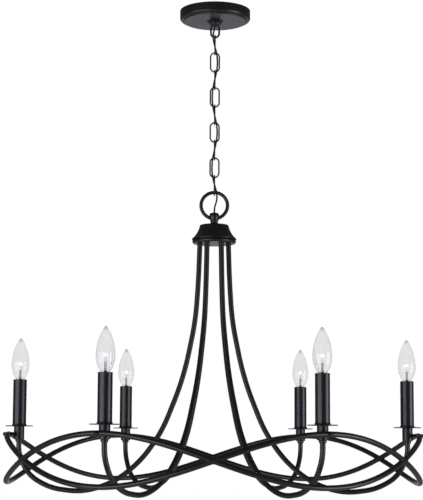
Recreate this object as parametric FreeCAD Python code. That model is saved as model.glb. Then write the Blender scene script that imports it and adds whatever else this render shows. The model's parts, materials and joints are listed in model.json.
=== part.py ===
import FreeCAD, Part
import math
import os

# Six-light candle chandelier with two interlaced wavy rings, hung on a chain.
# Millimetres. +Z is up. The origin is the centre of the canopy's rim, on the
# ceiling plane, and everything hangs below it. +X and -X each carry a candle.

Vector = FreeCAD.Vector
UP = Vector(0, 0, 1)
ORIGIN = Vector(0, 0, 0)

# ---- driving dimensions -------------------------------------------------

# Ceiling canopy: a spun steel cup, and what is screwed together inside it.
CANOPY_R = 70.0
CANOPY_HEIGHT = 22.0
CANOPY_WALL = 1.2
CANOPY_SHOULDER = 5.0        # radius between the side wall and the step
CANOPY_STEP = 2.0            # the small step round the underside
COLLAR_R = 16.0              # threaded collar that holds the canopy up
LOOP_STEM_R = 8.0
NIPPLE_R = 5.1               # 3/8 in threaded tube, 1/8 IP
NIPPLE_BORE_R = 3.5
STRAP_LENGTH = 102.0
STRAP_WIDTH = 20.0
STRAP_THICK = 1.6
STRAP_DROP = 8.4             # depth of the strap's middle below the ceiling
STRAP_SLOT_SPACING = 79.4    # slots reach box screws 70 to 89 mm apart
STRAP_SLOT_LENGTH = 14.4
STRAP_SLOT_R = 2.3
GROUND_SCREW_X = 16.0
GROUND_SCREW_R = 2.0
NUT_FLATS = 14.0
NUT_HEIGHT = 2.8

# Canopy eye, chain and suspension ring, each hung in the one above.
EYE_WIRE_R = 2.0
EYE_HALF_WIDTH = 8.2         # wire centre to the middle of the eye
EYE_TOP_Z = -28.6
EYE_BOTTOM_Z = -53.6
LINK_COUNT = 9
LINK_WIRE_R = 1.5
LINK_HALF_WIDTH = 8.7
LINK_HEIGHT = 38.8           # between the wire centres at top and bottom
SLACK = 0.3                  # gap that keeps neighbouring links apart
RING_WIRE_R = 3.5
RING_R = 26.0

# Supply cord, woven through the chain.
CORD_R = 1.7
LEAD_R = 0.9

# Hub: knuckle, flared cap and the plate that carries the arms.
KNUCKLE_TOP_Z = -408.2
KNUCKLE_R = 9.6
HOLE_SLACK = 0.9             # room round the ring where the frame tips on it
HUB_CAP_TOP_Z = -432.2
HUB_CAP_RIM_Z = -461.7
HUB_CAP_TOP_R = 28.6
HUB_CAP_RIM_R = 43.6
HUB_CAP_WALL = 1.5
PLATE_R = 42.8
PLATE_BOTTOM_Z = -469.5

# Arms: J-shaped tubes, one to each candle.
CANDLE_COUNT = 6
CANDLE_CIRCLE_R = 375.0
TUBE_R = 5.0
TUBE_BORE_R = 3.8

# Wavy rings: each rises to every other candle and dips under the rest.
WAVE_R = 395.0
WAVE_MID_Z = -887.0
WAVE_RISE = 45.5
WAVE_RUNS = 36
SCREW_R = 2.0
SCREW_HEAD_R = 3.8
SPACER_R = 3.7

# Candles.
BOBECHE_Z = -825.0           # top of the flat drip disc
BOBECHE_R = 26.5
BOBECHE_THICK = 1.8
CUP_R = 10.0
CUP_BOTTOM_Z = -852.0
CUP_COLLAR_R = 6.8
CUP_COLLAR_HEIGHT = 4.5
SLEEVE_R = 13.0
SLEEVE_BORE_R = 11.8
SLEEVE_HEIGHT = 88.4
LAMPHOLDER_R = 10.4
LAMPHOLDER_BORE_R = 6.8
LAMP_TIP_Z = -656.5
LAMP_NECK_R = 6.4
LAMP_BASE_R = 6.0
GLASS_WALL = 0.8

nodes = {}


# ---- helpers --------------------------------------------------------------

def outline_wire(start, steps):
    """Closed outline in the XZ half plane: a step is (r, z), or (mid, end) for an arc."""
    edges = []
    here = Vector(start[0], 0, start[1])
    for step in steps + (start,):
        if isinstance(step[0], tuple):
            middle = Vector(step[0][0], 0, step[0][1])
            there = Vector(step[1][0], 0, step[1][1])
            edges.append(Part.Arc(here, middle, there).toShape())
        else:
            there = Vector(step[0], 0, step[1])
            if there.distanceToPoint(here) < 1e-6:
                continue
            edges.append(Part.LineSegment(here, there).toShape())
        here = there
    return Part.Wire(edges)


def turned(start, *steps):
    """Solid turned about the Z axis from an outline of (r, z) points and arcs."""
    return Part.Face(outline_wire(start, steps)).revolve(ORIGIN, UP, 360)


def rounded_path(points, closed=False):
    """Straight runs joined by tangent arcs as large as the runs allow: wire and radii."""
    count = len(points)
    corners = range(count) if closed else range(1, count - 1)
    edges = []
    radii = []
    start = None if closed else points[0]
    first = None
    for i in corners:
        corner = points[i]
        before = corner - points[i - 1]
        after = points[(i + 1) % count] - corner
        reach = 0.45 * min(before.Length, after.Length)
        before.normalize()
        after.normalize()
        turn = before.getAngle(after)
        radius = reach / math.tan(turn / 2)
        radii.append(radius)
        arc_from = corner - before * reach
        arc_to = corner + after * reach
        inward = (after - before).normalize()
        bulge = radius / math.cos(turn / 2) - radius
        if start is not None:
            edges.append(Part.LineSegment(start, arc_from).toShape())
        else:
            first = arc_from
        edges.append(Part.Arc(arc_from, corner + inward * bulge, arc_to).toShape())
        start = arc_to
    end = first if closed else points[-1]
    edges.append(Part.LineSegment(start, end).toShape())
    return Part.Wire(edges), radii


def rod_along(wire, radius):
    """Round rod whose centre follows a wire of straight runs and arcs."""
    edge = wire.OrderedEdges[0]
    start = edge.valueAt(edge.FirstParameter)
    along = edge.tangentAt(edge.FirstParameter)
    section = Part.Wire([Part.Circle(start, along, radius).toShape()])
    return wire.makePipeShell([section], True, False)


def stadium_rod(half_width, top_z, bottom_z, wire_radius):
    """Closed loop of round wire with straight sides and half-round ends."""
    upper = top_z - half_width
    lower = bottom_z + half_width
    left = Vector(-half_width, 0, 0)
    right = Vector(half_width, 0, 0)
    wire = Part.Wire([
        Part.LineSegment(left + UP * lower, left + UP * upper).toShape(),
        Part.Arc(left + UP * upper, UP * top_z, right + UP * upper).toShape(),
        Part.LineSegment(right + UP * upper, right + UP * lower).toShape(),
        Part.Arc(right + UP * lower, UP * bottom_z, left + UP * lower).toShape(),
    ])
    return rod_along(wire, wire_radius)


def cylinder(radius, z_low, z_high, x=0.0):
    return Part.makeCylinder(radius, z_high - z_low, Vector(x, 0, z_low))


def hexagon_nut(flats, z_low, z_high, bore_radius):
    corner_r = flats / math.sqrt(3)
    corners = []
    for k in range(7):
        angle = math.radians(60 * k)
        corners.append(Vector(corner_r * math.cos(angle), corner_r * math.sin(angle), z_low))
    prism = Part.Face(Part.makePolygon(corners)).extrude(UP * (z_high - z_low))
    return prism.cut(cylinder(bore_radius, z_low - 1, z_high + 1))


def turned_copy(shape, degrees):
    copy = shape.copy()
    copy.rotate(ORIGIN, UP, degrees)
    return copy


def at_candle(shape, number):
    """Copy of a shape made at the +X candle, turned round to candle 1 to 6."""
    return turned_copy(shape, 360.0 / CANDLE_COUNT * (number - 1))


def at_candle_centre(shape):
    copy = shape.copy()
    copy.translate(Vector(CANDLE_CIRCLE_R, 0, 0))
    return copy


CANDLES = range(1, CANDLE_COUNT + 1)


# ---- canopy assembly ------------------------------------------------------

def canopy_form(inset):
    """Solid form of the canopy, moved in from its outside by the wall's thickness."""
    r = CANOPY_R - inset
    bottom = -CANOPY_HEIGHT + inset
    step_z = bottom + CANOPY_STEP
    arc_r = CANOPY_SHOULDER - inset
    flat_r = r - arc_r
    corner = arc_r * math.sqrt(0.5)
    return turned(
        (0, 0), (r, 0), (r, step_z + arc_r),
        ((flat_r + corner, step_z + arc_r - corner), (flat_r, step_z)),
        (flat_r - 1.5, step_z),
        ((flat_r - 2.0, bottom + 0.5), (flat_r - 4.0, bottom)),
        (0, bottom))


def make_canopy():
    shell = canopy_form(0).cut(canopy_form(CANOPY_WALL))
    return shell.cut(cylinder(LOOP_STEM_R + 0.1, -CANOPY_HEIGHT - 1, 0))


def make_canopy_loop():
    """Threaded stem through the canopy, ending in an oval eye, bored for the cord."""
    stem_top = -13.6
    nipple_end = -20.0
    body = turned(
        (0, stem_top), (LOOP_STEM_R, stem_top), (LOOP_STEM_R, -27.0),
        ((6.6, -29.2), (5.0, -31.0)), (0, -31.0))
    body = body.fuse(stadium_rod(EYE_HALF_WIDTH, EYE_TOP_Z, EYE_BOTTOM_Z, EYE_WIRE_R))
    body = body.cut(cylinder(NIPPLE_R, nipple_end, stem_top + 1))
    body = body.cut(cylinder(3.0, -32.0, nipple_end))
    return body.removeSplitter()


def make_collar_nut():
    top = -CANOPY_HEIGHT
    return turned(
        (LOOP_STEM_R, top), (COLLAR_R - 0.6, top), (COLLAR_R, top - 0.8), (COLLAR_R, top - 1.6),
        ((COLLAR_R - 3.0, top - 2.6), (COLLAR_R - 5.4, top - 5.6)),
        (COLLAR_R - 6.2, top - 6.8), (LOOP_STEM_R, top - 6.8))


def make_mounting_strap():
    """Steel strip, dropped in the middle, slotted for the screws of a ceiling box."""
    half = STRAP_LENGTH / 2
    low = STRAP_DROP
    thick = STRAP_THICK
    bend_out = 29.0
    bend_in = 23.0
    profile = [(-half, 0), (-bend_out, 0), (-bend_in, -low), (bend_in, -low), (bend_out, 0), (half, 0),
               (half, -thick), (bend_out + 0.9, -thick), (bend_in + 0.9, -low - thick),
               (-bend_in - 0.9, -low - thick), (-bend_out - 0.9, -thick), (-half, -thick), (-half, 0)]
    corners = [Vector(x, -STRAP_WIDTH / 2, z) for x, z in profile]
    strap = Part.Face(Part.makePolygon(corners)).extrude(Vector(0, STRAP_WIDTH, 0))
    strap = strap.cut(cylinder(NIPPLE_R, -low - thick - 1, 1))
    strap = strap.cut(cylinder(GROUND_SCREW_R, -low - thick - 1, 1, GROUND_SCREW_X))
    slot_half = STRAP_SLOT_LENGTH / 2 - STRAP_SLOT_R
    for side in (-1, 1):
        middle = side * STRAP_SLOT_SPACING / 2
        slot = Part.makeBox(2 * slot_half, 2 * STRAP_SLOT_R, 4, Vector(middle - slot_half, -STRAP_SLOT_R, -3))
        for end in (-1, 1):
            slot = slot.fuse(cylinder(STRAP_SLOT_R, -3, 1, middle + end * slot_half))
        strap = strap.cut(slot)
    return strap


def make_ground_screw():
    """Hex washer-head screw up through the strap."""
    seat = -STRAP_DROP - STRAP_THICK
    head = hexagon_nut(7.0, seat - 2.8, seat - 0.9, 0.01).fuse(cylinder(4.3, seat - 0.9, seat))
    head.translate(Vector(GROUND_SCREW_X, 0, 0))
    shank = cylinder(GROUND_SCREW_R, seat - 2.8, -STRAP_DROP + 3.0, GROUND_SCREW_X)
    return head.fuse(shank).removeSplitter()


def make_threaded_nipple():
    return cylinder(NIPPLE_R, -20.0, -5.0).cut(cylinder(NIPPLE_BORE_R, -21.0, -4.0))


def make_lock_nuts():
    upper = hexagon_nut(NUT_FLATS, -STRAP_DROP, -STRAP_DROP + NUT_HEIGHT, NIPPLE_R)
    strap_under = -STRAP_DROP - STRAP_THICK
    lower = hexagon_nut(NUT_FLATS, strap_under - NUT_HEIGHT, strap_under, NIPPLE_R)
    return Part.makeCompound([upper, lower])


# Each lead rises out of the nipple, bends over the nut and runs into a wire connector.
LEAD_DIRECTIONS = (90.0, 250.0, 290.0)
LEAD_PROFILE = ((1.5, -13.7), (1.7, -2.2), (13.0, -2.2), (18.5, -7.5), (25.0, -10.5))
CONNECTOR_FROM = 20.0
CONNECTOR_LENGTH = 17.0
CONNECTOR_Z = -10.5
CONNECTOR_MOUTH_R = 5.2
CONNECTOR_TIP_R = 3.4


def lead_points(degrees):
    """Points of one lead, from its distance out from the nipple's axis and its height."""
    angle = math.radians(degrees)
    out = Vector(math.cos(angle), math.sin(angle), 0)
    return [out * distance + UP * z for distance, z in LEAD_PROFILE]


def make_lead_wires():
    leads = []
    for degrees in LEAD_DIRECTIONS:
        wire, radii = rounded_path(lead_points(degrees))
        leads.append(rod_along(wire, LEAD_R))
    print("lead radii", [round(r, 1) for r in radii])
    return Part.makeCompound(leads)


def make_wire_connectors():
    """Tapered twist-on connectors lying level in the canopy, mouths towards the middle."""
    connectors = []
    mouth = Vector(CONNECTOR_FROM, 0, CONNECTOR_Z)
    for degrees in LEAD_DIRECTIONS:
        cone = Part.makeCone(CONNECTOR_MOUTH_R, CONNECTOR_TIP_R, CONNECTOR_LENGTH, mouth, Vector(1, 0, 0))
        cone = turned_copy(cone, degrees)
        wire, radii = rounded_path(lead_points(degrees))
        connectors.append(cone.cut(rod_along(wire, LEAD_R)))
    return Part.makeCompound(connectors)


# ---- chain, ring and cord -------------------------------------------------

LINK_PITCH = LINK_HEIGHT - 2 * LINK_WIRE_R - SLACK
LINK_1_TOP_Z = EYE_BOTTOM_Z + EYE_WIRE_R + LINK_WIRE_R + SLACK


def make_link(number):
    """Odd links stand in the YZ plane and even ones in the XZ plane."""
    top = LINK_1_TOP_Z - LINK_PITCH * (number - 1)
    link = stadium_rod(LINK_HALF_WIDTH, top, top - LINK_HEIGHT, LINK_WIRE_R)
    return turned_copy(link, 90) if number % 2 == 1 else link


CHAIN_END_Z = LINK_1_TOP_Z - LINK_PITCH * (LINK_COUNT - 1) - LINK_HEIGHT
RING_TOP_WIRE_Z = CHAIN_END_Z + LINK_WIRE_R + RING_WIRE_R + SLACK
RING_CENTRE_Z = RING_TOP_WIRE_Z - RING_R
RING_BOTTOM_WIRE_Z = RING_CENTRE_Z - RING_R


def make_suspension_ring():
    return Part.makeTorus(RING_R, RING_WIRE_R, Vector(0, 0, RING_CENTRE_Z), Vector(0, 1, 0))


# Route of the supply cord, top to bottom: out of the canopy's eye, round the
# chain one quarter turn to a link, behind the suspension ring and into the hub.
CORD_ROUTE = (
    (0.0, 0.0, -14.0), (0.0, 0.0, -31.0),
    (-4.9, 4.8, -50.5), (-0.6, 5.3, -69.2),
    (3.9, 3.9, -86.9), (5.3, 0.0, -104.7), (3.9, -3.9, -122.4), (0.0, -5.3, -140.2),
    (-3.9, -3.9, -157.9), (-5.3, 0.0, -175.7), (-3.9, 3.9, -193.4), (0.0, 5.3, -211.2),
    (3.9, 3.9, -228.9), (5.3, 0.0, -246.7), (3.9, -3.9, -264.4), (0.0, -5.3, -282.2),
    (-3.9, -3.9, -299.9), (-5.3, 0.0, -317.7), (-3.9, 3.9, -335.4), (0.6, 5.3, -352.0),
    (4.9, 6.0, -367.5), (5.2, 3.8, -382.0), (1.0, 0.7, -394.5), (0.0, 0.0, -404.0),
    (0.05, 0.0, -412.6),
)


def make_supply_cord():
    wire, radii = rounded_path([Vector(*point) for point in CORD_ROUTE])
    cord = rod_along(wire, CORD_R)
    print("cord length %.1f radii %s" % (wire.Length, [round(r, 1) for r in radii]))
    print("cord volume %.1f of %.1f" % (cord.Volume, math.pi * CORD_R ** 2 * wire.Length))
    return cord


# ---- hub ------------------------------------------------------------------

def make_hub_loop():
    """Knuckle on the suspension ring, screwed down on the hub's nipple."""
    top = KNUCKLE_TOP_Z
    body = turned(
        (0, top), (6.4, top), ((8.6, top - 1.6), (KNUCKLE_R, top - 5.0)),
        ((KNUCKLE_R, top - 9.5), (8.6, top - 14.0)),
        ((7.3, top - 18.6), (8.2, HUB_CAP_TOP_Z + 1.2)), (8.2, HUB_CAP_TOP_Z), (0, HUB_CAP_TOP_Z))
    ring_way = Part.makeTorus(RING_R, RING_WIRE_R + HOLE_SLACK, Vector(0, 0, RING_CENTRE_Z), Vector(0, 1, 0))
    body = body.cut(ring_way)
    body = body.cut(cylinder(CORD_R + 0.5, top - 6.0, top + 1))
    return body.cut(cylinder(NIPPLE_R, HUB_CAP_TOP_Z - 1, NIPPLE_TOP_Z))


NIPPLE_TOP_Z = HUB_CAP_TOP_Z + 6.0


def hub_cap_form(inset):
    top = HUB_CAP_TOP_Z - inset
    top_r = HUB_CAP_TOP_R - inset
    rim_r = HUB_CAP_RIM_R - inset
    rim = HUB_CAP_RIM_Z
    return turned(
        (0, top), (top_r - 3.0, top), ((top_r - 0.9, top - 0.7), (top_r, top - 2.4)),
        ((top_r + 3.6, top - 12.8), (rim_r - 1.6, rim + 3.4 - 0.4 * inset)),
        (rim_r, rim + 2.2), (rim_r, rim), (0, rim))


def make_hub_cap():
    shell = hub_cap_form(0).cut(hub_cap_form(HUB_CAP_WALL))
    return shell.cut(cylinder(NIPPLE_R + 0.1, HUB_CAP_RIM_Z, HUB_CAP_TOP_Z + 1))


def make_hub_base_plate(arm_forms):
    bottom = PLATE_BOTTOM_Z
    top = HUB_CAP_RIM_Z
    r = PLATE_R
    plate = turned(
        (0, top), (r - 1.6, top), (r - 1.0, top - 1.0), ((r, top - 3.6), (r - 1.2, bottom + 1.2)),
        ((r - 2.2, bottom + 0.3), (r - 3.6, bottom)), (0, bottom))
    plate = plate.cut(cylinder(NIPPLE_R, NIPPLE_FOOT_Z, top + 1))
    for form in arm_forms:
        plate = plate.cut(form)
    return plate


NIPPLE_FOOT_Z = PLATE_BOTTOM_Z + 2.5


def make_hub_nipple():
    return cylinder(NIPPLE_R, NIPPLE_FOOT_Z, NIPPLE_TOP_Z).cut(
        cylinder(NIPPLE_BORE_R, NIPPLE_FOOT_Z - 1, NIPPLE_TOP_Z + 1))


# ---- arms and wavy rings --------------------------------------------------

# Corners of the arm's path, as distance from the axis and height. The tube runs
# from inside the base plate, sweeps out, dips below the rings and turns up.
ARM_ROUTE = (
    (27.8, -463.5), (30.2, -540.5), (35.6, -621.3), (58.5, -733.3), (98.9, -834.6), (137.5, -889.9),
    (187.5, -931.4), (249.1, -952.0), (312.8, -944.2), (354.3, -920.8), (375.0, -882.0), (375.0, -844.5),
)


def make_arm_wire():
    wire, radii = rounded_path([Vector(r, 0, z) for r, z in ARM_ROUTE])
    print("arm length %.1f smallest radius %.1f" % (wire.Length, min(radii)))
    return wire


def wave_wire(phase):
    """Closed path on a cylinder that rises three times and dips three times."""
    step = 2 * math.pi / WAVE_RUNS
    corner_r = WAVE_R / math.cos(step / 2)
    corner_rise = WAVE_RISE / math.cos(1.5 * step)
    points = []
    for k in range(WAVE_RUNS):
        angle = k * step
        height = WAVE_MID_Z + corner_rise * math.cos(3 * angle + phase)
        points.append(Vector(corner_r * math.cos(angle), corner_r * math.sin(angle), height))
    return rounded_path(points, closed=True)[0]


def radial_cylinder(radius, start, end, z):
    return Part.makeCylinder(radius, end - start, Vector(start, 0, z), Vector(1, 0, 0))


SCREW_Z = WAVE_MID_Z + WAVE_RISE
TUBE_OUTSIDE = WAVE_R + TUBE_R


def make_wave_rings():
    """The first ring is whole. The second is cut to six lengths that butt against it."""
    outer_a = rod_along(wave_wire(0.0), TUBE_R)
    outer_b = rod_along(wave_wire(math.pi), TUBE_R)
    ring_a = outer_a.cut(rod_along(wave_wire(0.0), TUBE_BORE_R))
    ring_b = outer_b.cut(rod_along(wave_wire(math.pi), TUBE_BORE_R)).cut(outer_a)
    hole = radial_cylinder(SCREW_R + 0.1, WAVE_R - 8, WAVE_R + 8, SCREW_Z)
    for number in CANDLES:
        if number % 2 == 1:
            ring_a = ring_a.cut(at_candle(hole, number))
        else:
            ring_b = ring_b.cut(at_candle(hole, number))
    return ring_a, ring_b, outer_a


def make_ring_screw(ring_form):
    """Ball-headed screw through ring tube and spacer into the cup."""
    head_x = TUBE_OUTSIDE + 6.5 - SCREW_HEAD_R
    head = Part.makeSphere(SCREW_HEAD_R, Vector(head_x, 0, SCREW_Z)).cut(ring_form)
    head = max(head.Solids, key=lambda solid: solid.Volume)
    shank = radial_cylinder(SCREW_R, CANDLE_CIRCLE_R + CUP_R - 3.0, head_x, SCREW_Z)
    return head.fuse(shank).removeSplitter()


def make_ring_spacer(ring_form):
    spacer = radial_cylinder(SPACER_R, CANDLE_CIRCLE_R, WAVE_R, SCREW_Z)
    spacer = spacer.cut(ring_form)
    spacer = spacer.cut(cylinder(CUP_R, CUP_BOTTOM_Z, BOBECHE_Z, CANDLE_CIRCLE_R))
    spacer = spacer.cut(radial_cylinder(SCREW_R + 0.1, CANDLE_CIRCLE_R, WAVE_R, SCREW_Z))
    return max(spacer.Solids, key=lambda solid: solid.Volume)


# ---- candles --------------------------------------------------------------

CUP_TOP_Z = BOBECHE_Z - BOBECHE_THICK
CUP_FLOOR_Z = CUP_BOTTOM_Z + 5.0
CUP_BORE_R = 8.0
STEM_R = 4.0
STEM_HOLE_R = 5.2


def make_socket_cup(arm_form):
    """Turned cup brazed on the arm's end, with a short collar underneath."""
    cup = turned(
        (0, CUP_FLOOR_Z), (CUP_BORE_R, CUP_FLOOR_Z), (CUP_BORE_R, CUP_TOP_Z), (CUP_R, CUP_TOP_Z),
        (CUP_R, CUP_BOTTOM_Z + 1.0), (CUP_R - 1.0, CUP_BOTTOM_Z), (CUP_COLLAR_R + 0.8, CUP_BOTTOM_Z),
        ((CUP_COLLAR_R + 0.2, CUP_BOTTOM_Z - 0.3), (CUP_COLLAR_R, CUP_BOTTOM_Z - 1.0)),
        (CUP_COLLAR_R, CUP_BOTTOM_Z - CUP_COLLAR_HEIGHT + 0.6),
        (CUP_COLLAR_R - 0.8, CUP_BOTTOM_Z - CUP_COLLAR_HEIGHT), (0, CUP_BOTTOM_Z - CUP_COLLAR_HEIGHT))
    cup = at_candle_centre(cup).cut(arm_form)
    screw_from = CANDLE_CIRCLE_R + CUP_BORE_R - 2
    return cup.cut(radial_cylinder(SCREW_R, screw_from, CANDLE_CIRCLE_R + CUP_R + 1, SCREW_Z))


def make_bobeche():
    disc = turned(
        (STEM_HOLE_R, CUP_TOP_Z), (BOBECHE_R - 0.9, CUP_TOP_Z),
        ((BOBECHE_R, CUP_TOP_Z + BOBECHE_THICK / 2), (BOBECHE_R - 0.9, BOBECHE_Z)), (STEM_HOLE_R, BOBECHE_Z))
    return at_candle_centre(disc)


def make_candle_sleeve():
    """Metal candle cover with a small bead round its foot."""
    foot = BOBECHE_Z
    top = foot + SLEEVE_HEIGHT
    bead = 1.0
    sleeve = turned(
        (SLEEVE_BORE_R, foot), (SLEEVE_R + bead * 0.6, foot),
        ((SLEEVE_R + bead, foot + 1.4), (SLEEVE_R + bead * 0.6, foot + 2.8)), (SLEEVE_R, foot + 3.2),
        (SLEEVE_R, top - 0.4), (SLEEVE_R - 0.4, top), (SLEEVE_BORE_R, top))
    return at_candle_centre(sleeve)


def make_lampholder():
    """Candle lampholder on the stem that stands in the cup."""
    top = BOBECHE_Z + SLEEVE_HEIGHT - 3.0
    bottom = top - 28.0
    bore_floor = top - 21.5
    holder = turned(
        (0, CUP_FLOOR_Z), (STEM_R, CUP_FLOOR_Z), (STEM_R, bottom - 1.0), (7.0, bottom),
        (LAMPHOLDER_R, bottom + 2.0), (LAMPHOLDER_R, top - 1.0), (LAMPHOLDER_R - 1.0, top),
        (LAMPHOLDER_BORE_R, top), (LAMPHOLDER_BORE_R, bore_floor), (0, bore_floor))
    arm_end = cylinder(TUBE_R, CUP_BOTTOM_Z, ARM_ROUTE[-1][1])
    return at_candle_centre(holder.cut(arm_end))


# Flame-shaped lamp glass, drawn with arcs whose centres stay put as the wall moves in.
FLAME_R = 17.0
FLAME_DEPTH = 52.0           # widest place, below the tip
FLAME_SIDE_R = 95.0
BELLY_R = 46.0
LAMP_SEAT = 86.0             # foot of the glass, below the tip


def lamp_form(inset):
    """Turned form of the glass: round tip, long flame side, belly and straight neck."""
    waist_z = LAMP_TIP_Z - FLAME_DEPTH
    side_x = FLAME_R - FLAME_SIDE_R
    belly_x = FLAME_R - BELLY_R
    tip_r = (side_x ** 2 + FLAME_DEPTH ** 2 - FLAME_SIDE_R ** 2) / (2 * (FLAME_DEPTH - FLAME_SIDE_R))
    tip_z = LAMP_TIP_Z - tip_r
    side_r = FLAME_SIDE_R - inset
    belly_r = BELLY_R - inset
    neck_r = LAMP_NECK_R - inset
    lean = math.atan2(tip_z - waist_z, -side_x)

    def point(x, z, radius, angle):
        return (x + radius * math.cos(angle), z + radius * math.sin(angle))

    tip_join = point(0, tip_z, tip_r - inset, lean)
    neck_turn = -math.acos((neck_r - belly_x) / belly_r)
    foot = LAMP_TIP_Z - LAMP_SEAT
    return turned(
        (0, tip_z + tip_r - inset),
        (point(0, tip_z, tip_r - inset, (lean + math.pi / 2) / 2), tip_join),
        (point(side_x, waist_z, side_r, lean / 2), (side_x + side_r, waist_z)),
        (point(belly_x, waist_z, belly_r, neck_turn / 2), point(belly_x, waist_z, belly_r, neck_turn)),
        (neck_r, foot), (0, foot))


def make_lamp_glass():
    return at_candle_centre(lamp_form(0).cut(lamp_form(GLASS_WALL)))


def make_lamp_base():
    """Small screw base with its insulator and centre contact."""
    top = LAMP_TIP_Z - LAMP_SEAT
    base = turned(
        (0, top), (LAMP_BASE_R, top), (LAMP_BASE_R, top - 13.0), (4.0, top - 15.0),
        (2.4, top - 15.6), (2.4, top - 16.6), (1.6, top - 17.4), (0, top - 17.4))
    return at_candle_centre(base)


# ---- assembly -------------------------------------------------------------

nodes["canopy"] = make_canopy()
nodes["canopy_loop"] = make_canopy_loop()
nodes["collar_nut"] = make_collar_nut()
nodes["mounting_strap"] = make_mounting_strap()
nodes["ground_screw"] = make_ground_screw()
nodes["threaded_nipple"] = make_threaded_nipple()
nodes["lock_nuts"] = make_lock_nuts()
nodes["lead_wires"] = make_lead_wires()
nodes["wire_connectors"] = make_wire_connectors()
nodes["supply_cord"] = make_supply_cord()

for number in range(1, LINK_COUNT + 1):
    nodes["chain_link_%d" % number] = make_link(number)
nodes["suspension_ring"] = make_suspension_ring()

arm_wire = make_arm_wire()
arm_form = rod_along(arm_wire, TUBE_R)
arm_tube = arm_form.cut(rod_along(arm_wire, TUBE_BORE_R))
nodes["hub_loop"] = make_hub_loop()
nodes["hub_cap"] = make_hub_cap()
nodes["hub_base_plate"] = make_hub_base_plate([at_candle(arm_form, number) for number in CANDLES])
nodes["hub_nipple"] = make_hub_nipple()

ring_a, ring_b, ring_form = make_wave_rings()
nodes["wave_ring_a"] = ring_a
nodes["wave_ring_b"] = ring_b
screw = make_ring_screw(ring_form)
spacer = make_ring_spacer(ring_form)
nodes["ring_screws"] = Part.makeCompound([at_candle(screw, number) for number in CANDLES])
nodes["ring_spacers"] = Part.makeCompound([at_candle(spacer, number) for number in CANDLES])

socket_cup = make_socket_cup(arm_form)
bobeche = make_bobeche()
candle_sleeve = make_candle_sleeve()
lampholder = make_lampholder()
lamp_glass = make_lamp_glass()
lamp_base = make_lamp_base()
nodes["bobeches"] = Part.makeCompound([at_candle(bobeche, number) for number in CANDLES])
nodes["lampholders"] = Part.makeCompound([at_candle(lampholder, number) for number in CANDLES])
for number in CANDLES:
    nodes["arm_%d" % number] = at_candle(arm_tube, number)
    nodes["socket_cup_%d" % number] = at_candle(socket_cup, number)
    nodes["candle_sleeve_%d" % number] = at_candle(candle_sleeve, number)
    nodes["bulb_%d_glass" % number] = at_candle(lamp_glass, number)
    nodes["bulb_%d_base" % number] = at_candle(lamp_base, number)

os.makedirs("parts", exist_ok=True)
for name, shape in nodes.items():
    print("%-18s valid %s solids %d volume %.1f" % (name, shape.isValid(), len(shape.Solids), shape.Volume))
    shape.exportStep("parts/%s.step" % name)
print(len(nodes), "nodes")
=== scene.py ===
# %% [markdown]
# # A six-light candle chandelier, finished in Blender
# The metalwork was designed in CAD as sixty separate parts, then packed with its joints. This
# lesson loads that model as a fixed frame and gives it its looks: a braided cord, bent-wire
# links, two wavy rings, welds, lamps with their filaments, and a finish for each material.
# Nothing from the CAD is moved. A new piece rides on the body that carries it, so it follows
# every joint of the chain.

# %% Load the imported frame
import json
import math

import bpy
from mathutils import Matrix, Vector


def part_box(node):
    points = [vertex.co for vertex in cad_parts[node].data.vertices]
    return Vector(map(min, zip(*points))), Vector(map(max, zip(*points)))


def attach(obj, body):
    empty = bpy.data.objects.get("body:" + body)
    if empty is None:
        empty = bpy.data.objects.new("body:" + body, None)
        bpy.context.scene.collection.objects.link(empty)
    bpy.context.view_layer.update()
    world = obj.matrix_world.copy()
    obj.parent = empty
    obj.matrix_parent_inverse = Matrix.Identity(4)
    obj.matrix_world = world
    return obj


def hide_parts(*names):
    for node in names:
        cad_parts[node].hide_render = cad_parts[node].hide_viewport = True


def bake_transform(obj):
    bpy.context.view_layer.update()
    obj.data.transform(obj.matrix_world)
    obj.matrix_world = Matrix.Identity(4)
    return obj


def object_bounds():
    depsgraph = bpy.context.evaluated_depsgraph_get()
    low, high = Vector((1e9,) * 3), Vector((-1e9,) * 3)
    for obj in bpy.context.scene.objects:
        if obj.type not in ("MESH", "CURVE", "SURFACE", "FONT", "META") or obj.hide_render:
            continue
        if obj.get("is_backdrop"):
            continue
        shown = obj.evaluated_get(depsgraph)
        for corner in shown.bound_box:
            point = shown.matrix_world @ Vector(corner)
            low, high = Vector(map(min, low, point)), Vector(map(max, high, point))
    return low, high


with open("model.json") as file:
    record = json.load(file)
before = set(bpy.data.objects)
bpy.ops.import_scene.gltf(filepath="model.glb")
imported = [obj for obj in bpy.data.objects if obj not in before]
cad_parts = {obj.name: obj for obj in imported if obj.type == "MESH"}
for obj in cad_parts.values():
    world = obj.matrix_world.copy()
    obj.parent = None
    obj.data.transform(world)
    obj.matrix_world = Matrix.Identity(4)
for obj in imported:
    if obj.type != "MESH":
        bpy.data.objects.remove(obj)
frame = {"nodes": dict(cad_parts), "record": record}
cad_nodes = frame["nodes"]
cad_low, cad_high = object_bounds()
print("CAD box in millimetres:", [round(1000 * side) for side in cad_high - cad_low])

# %% [markdown]
# ## The camera
# A long lens a few metres away keeps the six candles nearly parallel, as a catalogue picture
# does. The camera stands level with the lower part of the chain and looks up by about seven
# degrees, so the far candles stand a little lower than the near ones. The matrix is written as
# a move and two turns, because that order is easy to read: stand there, look up, lean.

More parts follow.
